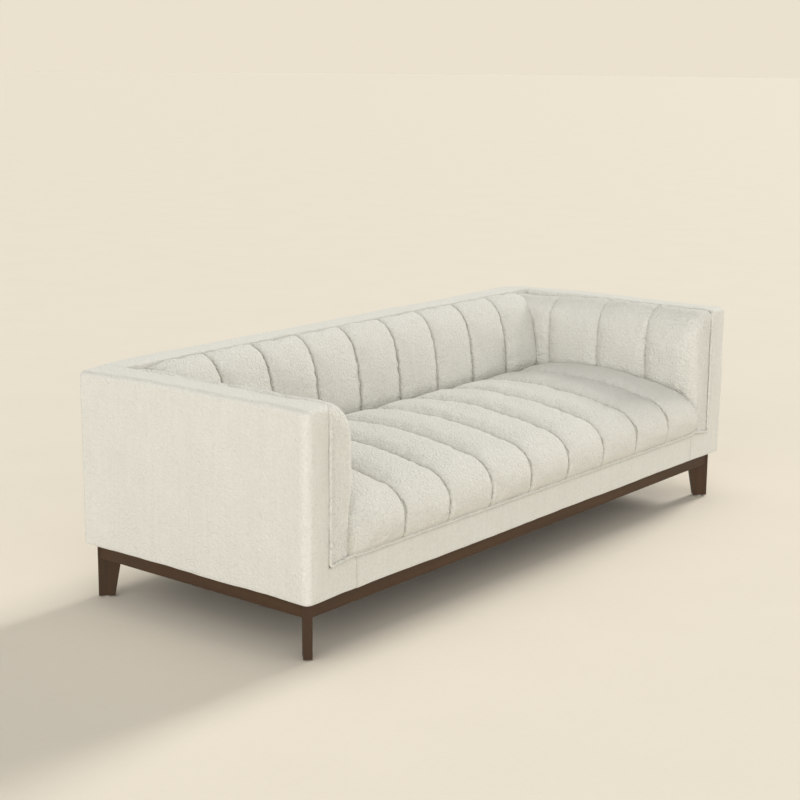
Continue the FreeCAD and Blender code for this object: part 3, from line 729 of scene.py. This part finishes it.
# Arm pads: four shallow channels inside each arm, the last one running on behind the back
# pad. The front end is drawn round to the welt, and the top rolls over to the arm's border.
arm_low, arm_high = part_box("arm_pad_right")
border_x = arm_high.x
arm_front = arm_low.y
arm_back = arm_high.y
arm_top_radius = 0.016
arm_pitch = 0.199
arm_crown = 0.007
arm_seam_depth = 0.0035
arm_round_depth = 0.040
arm_round_inset = 0.034
arm_crest = arm_front + 0.100
arm_touch_x = pad_half + 0.0005
rear_bulge = 0.010
rear_shoulder = 0.022
rear_drop = 0.015
bulge_run = (0.0, 0.22)
shoulder_run = (0.05, 0.33)
shoulder_heights = (0.58, 0.64)
drop_run = (-0.15, 0.40)
roll_heights = (0.60, 0.67)
border_run = (0.975, border_x)
corner_run = (0.985, border_x)
flap_top = 0.640
flap_depth = 0.032
flap_edge = 0.010
welt_height = 0.258
welt_radius = 0.0048
welt_overlap = 0.0038
welt_sink = 0.0032
welt_reach = 0.0045
cap_hollow = 0.0015
cap_turn = 0.006
# Painted shade: under_cord, arm_seam_shade and arm_welt_shade set the dark painted along an arm's
# seams and beside its welt.
under_cord = 0.0055
arm_seam_shade = 0.45
arm_welt_shade = 0.35
# Two more columns follow: how far the rounding of the front end draws the point in and down.
arm_knots = (
    (0.9093, 0.2610, 0.0, 0.0, 1.0, 0.0),
    (0.9093, 0.3800, -0.5, 0.0, 1.0, 0.0),
    (0.9030, 0.4500, -1.0, 0.0, 1.0, 0.0),
    (0.9015, 0.5500, -1.0, 0.0, 1.0, 0.0),
    (0.9090, 0.6080, -0.85, 0.1, 1.0, 0.0),
    (0.9260, 0.6430, -0.5, 0.4, 0.8, -0.3),
    (0.9460, 0.6610, -0.2, 0.7, 0.4, -0.5),
    (0.9680, 0.6715, 0.0, 0.8, 0.1, -0.6),
    (0.9910, 0.6755, 0.0, 0.6, 0.0, -0.2),
    (1.0030, 0.6710, 0.0, 0.2, 0.0, 0.0),
    (1.0048, 0.6620, 0.0, 0.0, 0.0, 0.0),
)
arm_line = outline(arm_knots, fabric_step)


def welt_level(x):
    """How high the middle of the welt runs along the front. It dips towards the arms' ends."""
    return np.interp(abs(x), (0.900, 0.910, border_x), (0.257, 0.262, 0.250))


def drawn_to_welt(points):
    """Points beside the front's welt, moved up or down as it rises and dips."""
    from_front = np.clip(1 - (points[..., 1] - arm_front) / 0.04, 0, 1)
    near = np.exp(-abs(points[..., 2] - welt_height) / 0.03) * from_front
    moved = points.copy()
    moved[..., 2] += (welt_level(points[..., 0]) - welt_height) * near
    return moved


def ramp(value, start, end):
    """An even rise from 0 at the start to 1 at the end."""
    return np.clip((value - start) / (end - start), 0, 1)


def eased(value, start, end):
    """A smooth step from 0 at the start to 1 at the end."""
    share = ramp(value, start, end)
    return share * share * (3 - 2 * share)


def covered_height(y):
    """How high the seat or the back hides the arm pad at a distance from the front."""
    line = seat_line[np.argmin(seat_line[:, 0]) :] if y < back_face_y else back_line
    return min(np.interp(y, line[:, 0], line[:, 1]), flap_top)


def arm_rows():
    """Rows from the back of an arm to its front: place, swell, inset of its round end, share."""
    rows = [(arm_back, dome(0.9), 0.0, 0.9)]
    for index in (4, 3, 2, 1):
        shares = seam_shares()[: channel_rows if index > 1 else channel_rows // 2]
        rows += [(arm_front + (index - s) * arm_pitch, dome(s), 0.0, s) for s in shares]
    turns = np.radians(np.linspace(90, 0, 9))
    steps = [*spaced([arm_round_depth, arm_crest - arm_front], 0.01)[:0:-1]]
    insets = [0.0] * len(steps) + [arm_round_inset * (1 - math.sin(turn)) for turn in turns]
    steps += [arm_round_depth * (1 - math.cos(turn)) for turn in turns]
    for step, inset in zip(steps, insets):
        fall = (1 - step / (arm_crest - arm_front)) ** 2
        rows.append((arm_front + step, 1.0 - 0.6 * fall, inset, 0.5))
    return [row for row in rows if row is rows[0] or row[0] < arm_back - 0.001]


def arm_pad(name, node, side, seed):
    """One arm's pad. side is +1 on the right and -1 on the left."""
    rows = arm_rows()
    y, swelled, inset, shares = (np.array(values)[:, None] for values in zip(*rows))
    x = arm_line[:, 0] + arm_line[:, 2] * arm_crown * swelled + arm_line[:, 4] * inset
    z = arm_line[:, 1] + arm_line[:, 3] * arm_crown * swelled + arm_line[:, 5] * inset
    shoulder = rear_shoulder * eased(y, *shoulder_run) * eased(z, *shoulder_heights)
    x = x - rear_bulge * eased(y, *bulge_run) - shoulder
    off_border = 1 - 0.75 * eased(x, *border_run)
    z = z - rear_drop * eased(y, *drop_run) * eased(z, *roll_heights) * off_border
    covered = np.array([covered_height(place) for place in y[:, 0]])[:, None]
    free = eased(z, covered - flap_depth, covered - flap_edge)
    x = np.where(x < arm_touch_x, arm_touch_x + free * (x - arm_touch_x), x)
    into_round = 1 - ramp(y, arm_front, arm_front + arm_top_radius)
    drop = arm_top_radius * (1 - np.sqrt(1 - into_round**2))
    z = z - drop * ramp(z, *roll_heights) * (1 - 0.6 * eased(x, *corner_run))
    sheet = np.stack([x, np.broadcast_to(y, x.shape), z], axis=2)
    held = (free < 0.5) | (shares == 0) | (y < arm_front + arm_round_depth)
    held[0] = True
    held[:, :2] = True
    held[:, -2:] = True
    sheet = sewn(stuffed(sheet, held), seed, y[:, 0], shares[:, 0], arm_pitch, arm_seam_depth)
    sheet[:, -1, 0] = border_x
    front = sheet[-1]
    rise = (front[:, 2] - front[0, 2]) / (front[-1, 2] - front[0, 2])
    edge = np.empty_like(front)
    edge[:, 0] = border_x - welt_radius + welt_overlap
    edge[:, 1] = arm_front
    edge[:, 2] = pad_bottom + (front[-1, 2] - pad_bottom) * rise
    caps = []
    cap_shares = np.array([*np.linspace(0, 0.84, 7)[1:], 0.88, 0.91, 0.94, 0.97, 1.0])
    cap_width = (edge - front)[:, 0].max()
    for s in cap_shares:
        sunk = welt_sink * math.exp((s - 1) * cap_width / welt_reach)
        hollow = cap_hollow * math.sin(math.pi * s)
        caps.append(front * (1 - s) + edge * s + (0, sunk - hollow, 0))
    caps.append(edge + (0.001, welt_sink + cap_turn, 0))
    sheet = np.concatenate([sheet, caps])
    total, columns = sheet.shape[:2]
    sheet = drawn_to_welt(sheet)
    corners = np.array([(border_x, row[0], pad_bottom) for row in rows])
    points = np.concatenate([sheet.reshape(-1, 3), corners])
    points[:, 0] *= side
    faces = quads(total, columns)
    corner = total * columns
    top = columns - 1
    for r in range(len(rows) - 2):
        here, there = r * columns, (r + 1) * columns
        faces.append((here + top, there + top, corner + r + 1, corner + r))
        faces.append((here, corner + r, corner + r + 1, there))
    r = len(rows) - 2
    front_edge = range(total * columns - 1, (total - 1) * columns - 1, -1)
    top_edge = range(r * columns + top, total * columns - 1, columns)
    bottom_edge = range(r * columns, (total - 1) * columns, columns)
    faces.append((*top_edge, *front_edge, corner + r))
    faces.append((corner + r, (total - 1) * columns, *bottom_edge[::-1]))
    faces.append((*range(columns), corner))
    seams = [index for index, row in enumerate(rows) if row[3] == 0.0]
    # Painted shade: darker along the arm's seams and beside the welt cord.
    to_seam = np.minimum(shares[:, 0], 1 - shares[:, 0]) * arm_pitch
    to_cord = np.maximum((1 - cap_shares) * cap_width - under_cord, 0)
    painted_seam_shade = arm_seam_shade * np.exp(-to_seam / seam_shade_fade)
    painted_welt_shade = arm_welt_shade * np.exp(-to_cord / seam_shade_fade)
    near = np.repeat(np.concatenate([painted_seam_shade, painted_welt_shade, painted_welt_shade[-1:]]), columns)
    pad(name, points, faces, columns, seams, ((0, total - 1), (0, columns - 1)), near, node)


arm_pad("channelled_arm_right", "arm_pad_right", side=1, seed=31)
arm_pad("channelled_arm_left", "arm_pad_left", side=-1, seed=47)

# Welt: a cord in a strip of the boucle, sewn into the seam where the pads meet the outer
# covers. It runs down the front of one arm, along under the seat and up the other arm.
welt_sides = 12
welt_step = 0.006
welt_top = 0.664
welt_bend = 0.008
welt_tail = 0.030
welt_dip = 0.0060
welt_fall = 0.014
welt_wander = 0.0003
welt_front = arm_front - 0.0020
bend_x = border_x - welt_bend
bend_z = float(welt_level(bend_x)) + welt_bend


def welt_path():
    """The middle of the welt, from the top of the right arm round to the top of the left one."""
    line = []
    for share in np.linspace(1, 0, 6)[:-1]:
        y = welt_front + arm_top_radius + welt_tail * share
        line.append((border_x, y, welt_top + arm_top_radius - welt_dip - welt_fall * share**2))
    for angle in np.radians(np.linspace(90, 0, 9)):
        sunk = arm_top_radius - welt_dip * math.sin(angle)
        y = welt_front + arm_top_radius - sunk * math.cos(angle)
        line.append((border_x, y, welt_top + sunk * math.sin(angle)))
    line += [(border_x, welt_front, z) for z in spaced([-welt_top, -bend_z], welt_step)[1:] * -1]
    for angle in np.radians(np.linspace(0, 84, 7))[1:]:
        across, down = welt_bend * math.cos(angle), welt_bend * math.sin(angle)
        line.append((bend_x + across, welt_front, bend_z - down))
    right = np.array(line)
    along = np.linspace(bend_x, -bend_x, round(2 * bend_x / welt_step))
    front = np.column_stack([along, np.full(len(along), welt_front), welt_level(along)])
    left = right[::-1] * (-1, 1, 1)
    return np.vstack([right, front, left])


def tube(line, radius, sides):
    """Points and faces of a round cord along a line that lies in an upright plane."""
    ahead = np.gradient(line, axis=0)
    ahead /= np.linalg.norm(ahead, axis=1, keepdims=True)
    out = np.cross(ahead, (0.0, 1.0, 0.0))
    turned = np.cross(ahead, out)
    points = []
    for angle in np.linspace(0, 2 * math.pi, sides, endpoint=False):
        points.append(line + (out * math.cos(angle) + turned * math.sin(angle)) * radius)
    points = np.stack(points, axis=1).reshape(-1, 3)
    faces = []
    for start in range(0, (len(line) - 1) * sides, sides):
        for side in range(sides):
            after = (side + 1) % sides
            faces.append((start + side, start + after, start + sides + after, start + sides + side))
    last = (len(line) - 1) * sides
    return points, [*faces, tuple(range(sides)), tuple(range(last, last + sides))]


welt_line = welt_path()
welt_run = np.arange(len(welt_line)) * welt_step
wander = [waves(seed, length, welt_run, 0) for seed, length in ((11, 0.11), (12, 0.07), (13, 0.11))]
wandering = welt_line + np.column_stack(wander) * welt_wander
welt_points, welt_faces = tube(wandering, welt_radius, welt_sides)
welt = piece("front_welt_cord", welt_points, welt_faces, pad_fabric, "boucle_fabric")
tidy(welt)
softened(welt)
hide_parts("front_welt")

# Outer covers: one sheet of boucle over thin wadding for each arm and one for the back,
# drawn over the frame's edges and turned under. Their edges are tucked in at the seams.
shell_low, shell_high = (np.array(corner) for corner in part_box("outer_arm_cover_left"))
wadding = 0.003
shell_half = wadding - shell_low[0]
shell_front = shell_low[1]
shell_back = wadding + shell_high[1]
shell_bottom = shell_low[2]
shell_top = shell_high[2]
front_radius = 0.018
rear_radius = 0.016
top_radius = 0.016
bottom_radius = 0.006
border_seam_x = 0.895
front_border_top = 0.2548
border_edge_x = border_x + welt_radius - welt_overlap
back_seam_x = shell_half - 0.025
back_seam_top = shell_top - 0.018
under_turn = 0.018
cover_thickness = 0.0022
hem = 0.012
top_hem = 0.028
corner_drop = 0.010
corner_puff = 0.008
puff_run = 0.100
front_crown = 0.0008
side_crown = 0.0025
ripples = ((0.30, 0.0010), (0.09, 0.0004))
# Painted shade: hem_under_cord, border_seam_shade and border_welt_shade set the dark painted on a
# cover's front beside the welt and its seams.
hem_under_cord = 0.0045
border_seam_shade = 0.5
border_welt_shade = 0.6
cover_fabric = boucle("boucle_covers", 0.5, 0.0022)


def rolled(points):
    """Move points of the squared-off shell onto its rounded corners and edges."""
    corner_radius = np.where(points[:, 1] < 0, front_radius, rear_radius)
    inner_x = np.clip(points[:, 0], -shell_half + corner_radius, shell_half - corner_radius)
    inner_y = np.clip(points[:, 1], shell_front + corner_radius, shell_back - corner_radius)
    inner = np.column_stack([inner_x, inner_y])
    away = points[:, :2] - inner
    reach = abs(away).max(axis=1)
    length = np.linalg.norm(away, axis=1)
    outward = away / np.maximum(length, 1e-9)[:, None]
    depth = corner_radius - reach
    z = points[:, 2].copy()
    for radius, level, upward in ((top_radius, shell_top, 1), (bottom_radius, shell_bottom, -1)):
        a = radius - depth
        b = radius - (level - z) * upward
        corner = (a > 1e-7) & (b > 1e-7) & (reach > 0)
        size = np.hypot(a, b)
        depth = np.where(corner, radius - radius * a / np.maximum(size, 1e-9), depth)
        z = np.where(corner, level - upward * (radius - radius * b / np.maximum(size, 1e-9)), z)
    flat = inner + outward * (corner_radius - depth)[:, None]
    flat = np.where((reach > 0)[:, None], flat, points[:, :2])
    drop = corner_drop * eased(abs(flat[:, 0]), shell_half - 0.15, shell_half)
    drop *= eased(flat[:, 1], shell_back - 0.30, shell_back)
    return np.column_stack([flat, z - drop * eased(z, shell_top - puff_run, shell_top)])


def ruled(stops, step):
    """Places from the first stop to the last, with fine steps beside every stop."""
    low, high = stops[0], stops[-1]
    gaps = np.array([0.003, 0.007, 0.012, 0.018, 0.025])
    beside = [place for stop in stops for place in (*(stop - gaps), *(stop + gaps))]
    merged = sorted({round(float(place), 6) for place in (*stops, *beside) if low <= place <= high})
    return spaced(merged, step)


seams_x = (border_seam_x, border_x, border_edge_x, back_seam_x, shell_half)
cover_step = 0.016
cover_x = ruled([-place for place in seams_x[::-1]] + list(seams_x), cover_step)
cover_y = ruled([shell_front, arm_back, shell_back], cover_step)
cover_z = ruled([shell_bottom, front_border_top, back_seam_top, shell_top], cover_step)


def outward_at(points, faces):
    """The outward direction at each point of a mesh of four-sided faces."""
    corners = np.array(faces).T
    square = np.cross(points[corners[2]] - points[corners[0]], points[corners[3]] - points[corners[1]])
    total = np.zeros_like(points)
    for corner in corners:
        np.add.at(total, corner, square)
    return total / np.maximum(np.linalg.norm(total, axis=1, keepdims=True), 1e-12)


def tucked(points, faces, depth):
    """Fold the free edges of a mesh straight in, by a depth that each point has."""
    edges = {(face[k - 1], face[k]) for face in faces for k in range(4)}
    free = [edge for edge in sorted(edges) if edge[::-1] not in edges]
    rim = sorted({index for edge in free for index in edge})
    folded = points[rim] - outward_at(points, faces)[rim] * depth[rim, None]
    below = {index: len(points) + order for order, index in enumerate(rim)}
    strips = [(end, start, below[start], below[end]) for start, end in free]
    return np.vstack([points, folded]), faces + strips


def cover(name, node, wanted, seed):
    """One outer cover: the wanted cells of the shell, rounded, waved and tucked in at its edges."""
    square, faces = box_surface(cover_x, cover_y, cover_z, wanted)
    points = drawn_to_welt(rolled(square))
    low, high = square.min(axis=0), square.max(axis=0)
    arch = np.sin(math.pi * (square - low) / (high - low))
    on_side = abs(abs(square[:, 0]) - shell_half) < 1e-6
    on_front = square[:, 1] < shell_front + 1e-6
    crown = np.where(on_front, front_crown, side_crown)
    level = np.where(on_side, arch[:, 1], arch[:, 0])
    raised = crown * np.sqrt(np.clip(level * arch[:, 2], 0, 1))
    x, y, z = abs(square[:, 0]), square[:, 1], square[:, 2]
    for index, (length, height) in enumerate(ripples):
        raised += waves(seed + index, length, square[:, 0] + y, z) * height
    at_corner = eased(x, shell_half - puff_run, shell_half)
    at_corner *= eased(-y, -shell_front - puff_run, -shell_front)
    raised += corner_puff * at_corner * np.clip(arch[:, 2], 0, 1) ** 0.3
    to_welt = np.hypot(np.maximum(x - border_edge_x, 0), np.maximum(front_border_top - z, 0))
    raised -= welt_sink * np.exp(-to_welt / welt_reach) * on_front
    points = points + outward_at(points, faces) * raised[:, None]
    depth = np.where(z > shell_top - 0.001, top_hem, hem)
    made = piece(name, *tucked(points, faces, depth), cover_fabric, "boucle_fabric")
    # Painted shade on the front: darker along the short upright seams under the seat and beside the
    # welt cord.
    painted_upright_seam_shade = border_seam_shade * np.exp(-abs(x - border_seam_x) / seam_shade_fade)
    painted_upright_seam_shade *= z < front_border_top
    painted_welt_shade = border_welt_shade * np.exp(-np.maximum(to_welt - hem_under_cord, 0) / seam_shade_fade)
    shaded(made, on_front * np.maximum(painted_welt_shade, painted_upright_seam_shade))
    thicken(made, cover_thickness)
    softened(made)
    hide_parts(node)


def arm_cells(side):
    """Which cells of the shell one arm's cover takes."""

    def wanted(middle, axis):
        x = middle[0] * side
        y, z = middle[1:]
        if axis == 0:
            return x > 0
        if axis == 1 and y < 0:
            return x > border_edge_x or (x > border_seam_x and z < front_border_top)
        if axis == 1:
            return x > (border_x if z > back_seam_top else back_seam_x)
        if z > front_border_top:
            return x > border_x
        at_front = y < shell_front + under_turn and x > border_seam_x
        at_back = y > shell_back - under_turn and x > back_seam_x
        return x > shell_half - under_turn or at_front or at_back

    return wanted


def back_cells(middle, axis):
    """Which cells of the shell the back's cover takes."""
    x, y, z = abs(middle[0]), *middle[1:]
    if axis == 1:
        return y > 0 and x < (border_x if z > back_seam_top else back_seam_x)
    if axis == 2 and z > front_border_top:
        return y > arm_back and x < border_x
    return axis == 2 and y > shell_back - under_turn and x < back_seam_x


def front_cells(middle, axis):
    """Which cells of the shell the strip under the seat takes."""
    x, y, z = abs(middle[0]), *middle[1:]
    low = z < front_border_top and x < border_seam_x
    return low and ((axis == 1 and y < 0) or (axis == 2 and y < shell_front + under_turn))


cover("left_arm_cover", "outer_arm_cover_left", arm_cells(-1), seed=61)
cover("right_arm_cover", "outer_arm_cover_right", arm_cells(1), seed=67)
cover("back_cover", "outer_back_cover", back_cells, seed=71)
cover("front_border", "front_border_cover", front_cells, seed=73)

# Dust cover: black cambric under the seat, stapled to the frame round its edge in three
# panels between the cross battens. Its corners are cut off to clear the legs.
dust_low, dust_high = (np.array(corner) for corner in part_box("dust_cover"))
batten_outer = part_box("base_cross_battens")[1].x
batten_width = 0.030
dust_clip = 0.070
dust_sag = 0.003
dust_sag_run = 0.150
dust_step = 0.030
cambric = woven("black_cambric", (0.010, 0.010, 0.011), (0.030, 0.030, 0.032), 0.0016, 0.0002, 0.9)
batten_inner = batten_outer - batten_width
batten_sides = (-batten_outer, -batten_inner, batten_inner, batten_outer)
dust_x = spaced([dust_low[0], *batten_sides, dust_high[0]], dust_step)
dust_y = spaced([dust_low[1], dust_high[1]], dust_step)
dust_points = []
for y in dust_y:
    for x in dust_x:
        inset = min(dust_high[0] - abs(x), dust_clip) - dust_clip
        held_y = min(max(y, dust_low[1] - inset), dust_high[1] + inset)
        from_edge = min(held_y - dust_low[1], dust_high[1] - held_y, dust_high[0] - abs(x))
        from_batten = abs(abs(x) - batten_inner - batten_width / 2)
        loose = min(1.0, from_edge / dust_sag_run) * min(1.0, from_batten / dust_sag_run)
        dust_points.append((x, held_y, dust_high[2] - dust_sag * loose))
dust_faces = []
for face in quads(len(dust_y), len(dust_x)):
    middle_x = np.mean([dust_points[index][0] for index in face])
    if not batten_inner < abs(middle_x) < batten_outer:
        dust_faces.append(face)
dust = piece("cambric_dust_cover", dust_points, dust_faces, cambric, "black_cambric")
thicken(dust, dust_high[2] - dust_low[2])
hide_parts("dust_cover")

# Base: rails and two cross battens of dark-stained hardwood, doweled to four flat legs that
# stand across the corners and taper down. Bolts into threaded inserts hold it to the frame.
stain_dark = (0.035, 0.0150, 0.0036)
stain_light = (0.074, 0.033, 0.0085)
stained = [wood("stained_" + "xyz"[axis], axis, stain_dark, stain_light, 0.62) for axis in range(3)]
paint(stained[0], "base_rail_front", "base_rail_back")
paint(stained[1], "base_rail_left", "base_rail_right", "base_cross_battens")
paint(stained[2], "leg_front_left", "leg_front_right", "leg_rear_left", "leg_rear_right")

# Glides: nylon discs nailed under the legs, which slide on the floor without marking it.
paint(steel("nylon", (0.55, 0.54, 0.51), 0.45, 0.0), "leg_glides")

# Studio: a wide pale floor under a pale backdrop. A low sun-like lamp shines from the right,
# and soft light comes from all round, most of it from low on the left.


def floor_material():
    made, place = begin("studio_floor")
    mottled = (place.noise(3.0, 4.0) - 0.5) * 0.8 + (place.noise(60.0, 4.0) - 0.5) * 0.6 + 0.5
    inputs = {
        "Base Color": mottled.between((0.82, 0.757, 0.655), (0.865, 0.802, 0.70)),
        "Roughness": mottled * 0.05 + 0.85,
        "Specular IOR Level": 0.2,
    }
    return close(made, inputs)


floor_radius = 60.0
floor_sides = 96
floor_mesh = bpy.data.meshes.new("floor")
turns = np.arange(floor_sides) * 2 * math.pi / floor_sides
floor_points = [(floor_radius * math.cos(turn), floor_radius * math.sin(turn), 0.0) for turn in turns]
floor_mesh.from_pydata(floor_points, [], [tuple(range(floor_sides))])
floor_mesh.materials.append(floor_material())
floor = bpy.data.objects.new("floor", floor_mesh)
bpy.context.scene.collection.objects.link(floor)

soft_light_from = (-0.87, -0.50, 0.0)
soft_light_most = 3.05
soft_light_least = 0.47
world = bpy.data.worlds.new("studio")
world.use_nodes = True
world.node_tree.nodes.clear()
tree = Wire(world.node_tree)
direction = tree.add("ShaderNodeTexCoord", {}, {}, output=0)
to_left = tree.math("MAXIMUM", direction.toward(soft_light_from), 0.0)
upward = direction.toward((0.0, 0.0, 1.0))
light = {
    "Color": to_left.between((1.0, 0.985, 0.92), (1.0, 0.985, 0.965)),
    "Strength": to_left * to_left * (1 - upward) * soft_light_most + soft_light_least,
}
all_round = tree.add("ShaderNodeBackground", {}, light)
backdrop = tree.add("ShaderNodeBackground", {}, {"Color": (0.825, 0.752, 0.617, 1.0)})
kinds = ("Is Camera Ray", "Is Glossy Ray", "Is Transmission Ray")
rays = [tree.add("ShaderNodeLightPath", {}, {}, output=kind) for kind in kinds]
seen = rays[0] + rays[1] + rays[2]
mixed = tree.add("ShaderNodeMixShader", {}, {0: seen, 1: all_round, 2: backdrop})
tree.add("ShaderNodeOutputWorld", {}, {"Surface": mixed})
bpy.context.scene.world = world


def lamp(name, travel, strength, spread, colour):
    """A far lamp whose light travels in a direction, spread over an angle in degrees."""
    data = bpy.data.lights.new(name, "SUN")
    data.energy = strength
    data.angle = math.radians(spread)
    data.color = colour
    made = bpy.data.objects.new(name, data)
    made.rotation_euler = Vector(travel).to_track_quat("-Z", "Y").to_euler()
    bpy.context.scene.collection.objects.link(made)


lamp("key", (-1.0, 0.0, -0.53), 2.15, 16.0, (1.0, 0.97, 0.92))

camera_place = Vector((-4.16638, -3.18062, 1.61652))
camera_yaw = math.radians(38.669)
camera_pitch = math.radians(12.382)
camera_roll = math.radians(0.483)
level_right = Vector((math.sin(camera_yaw), -math.cos(camera_yaw), 0.0))
level_ahead = Vector((math.cos(camera_yaw), math.sin(camera_yaw), 0.0))
ahead = level_ahead * math.cos(camera_pitch) - Vector((0.0, 0.0, math.sin(camera_pitch)))
level_up = level_right.cross(ahead)
right = level_right * math.cos(camera_roll) + level_up * math.sin(camera_roll)
up = level_up * math.cos(camera_roll) - level_right * math.sin(camera_roll)
camera_data = bpy.data.cameras.new("camera")
camera_data.sensor_width = 36.0
camera_data.lens = 75.82
camera = bpy.data.objects.new("camera", camera_data)
turned = Matrix((right, up, -ahead)).transposed()
camera.matrix_world = Matrix.Translation(camera_place) @ turned.to_4x4()
bpy.context.scene.collection.objects.link(camera)
bpy.context.scene.camera = camera
bpy.context.scene.view_settings.view_transform = "Standard"
